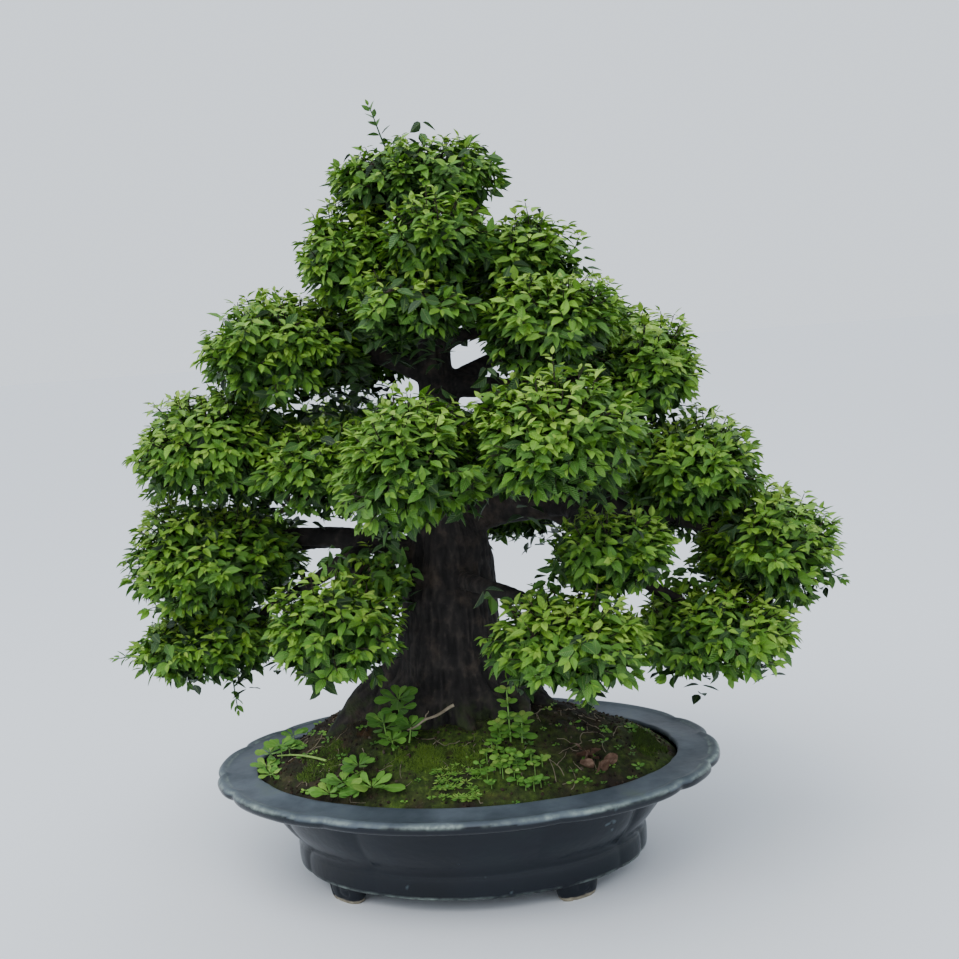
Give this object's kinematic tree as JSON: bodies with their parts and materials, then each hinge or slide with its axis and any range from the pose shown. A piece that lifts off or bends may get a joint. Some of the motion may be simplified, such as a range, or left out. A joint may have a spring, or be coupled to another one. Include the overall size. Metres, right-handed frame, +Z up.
{
  "type": "bonsai tree in a lobed oval pot",
  "caption": "Broad small-leaved bonsai with a flared trunk and tiered leaf pads, planted in mounded soil in a shallow lobed oval glazed pot on scroll feet.",
  "frame": {"origin": "under the middle of the whole plant's box, on the surface that the pot's feet rest on", "axes": "+X along the pot's length, to the right seen from the front; -Y to the front; +Z up the trunk"},
  "size_m": [0.7484, 0.544, 0.7652],
  "materials": {
    "glaze": "gloss",
    "soil": "matte",
    "bark": "matte",
    "dead_twig": "matte",
    "dry_leaf": "matte",
    "plastic_mesh": "matte",
    "leaf": "satin",
    "shoot": "satin",
    "moss": "matte",
    "weed": "satin"
  },
  "bodies": {
    "root": {"dead_twig": "dead_twig", "drain_screen_left": "plastic_mesh", "drain_screen_right": "plastic_mesh", "dry_leaves": "dry_leaf", "foliage_back_low": "leaf", "foliage_back_low_left": "leaf", "foliage_back_low_right": "leaf", "foliage_back_middle_left": "leaf", "foliage_back_middle_right": "leaf", "foliage_back_top": "leaf", "foliage_back_upper_left": "leaf", "foliage_back_upper_right": "leaf", "foliage_bottom_left": "leaf", "foliage_breast": "leaf", "foliage_centre_left": "leaf", "foliage_centre_right": "leaf", "foliage_crown": "leaf", "foliage_far_right": "leaf", "foliage_inner_left": "leaf", "foliage_low_left": "leaf", "foliage_low_left_front": "leaf", "foliage_low_right": "leaf", "foliage_low_right_front": "leaf", "foliage_middle_left": "leaf", "foliage_middle_right": "leaf", "foliage_middle_right_front": "leaf", "foliage_shoulder_front": "leaf", "foliage_shoulder_left": "leaf", "foliage_shoulder_right": "leaf", "foliage_trunk_left": "leaf", "foliage_upper_front": "leaf", "foliage_upper_left": "leaf", "foliage_upper_right": "leaf", "moss_front": "moss", "moss_left": "moss", "moss_right": "moss", "pot": "glaze", "seedlings_left": "weed", "shoot_hanging": "shoot", "shoot_left": "shoot", "shoot_right": "shoot", "shoot_top": "shoot", "soil": "soil", "tree_wood": "bark", "weed_feathery": "weed", "weed_rosette": "weed", "weed_round_leaf": "weed", "weed_small_leaf": "weed", "weed_upright": "weed"}
  },
  "joints": []
}
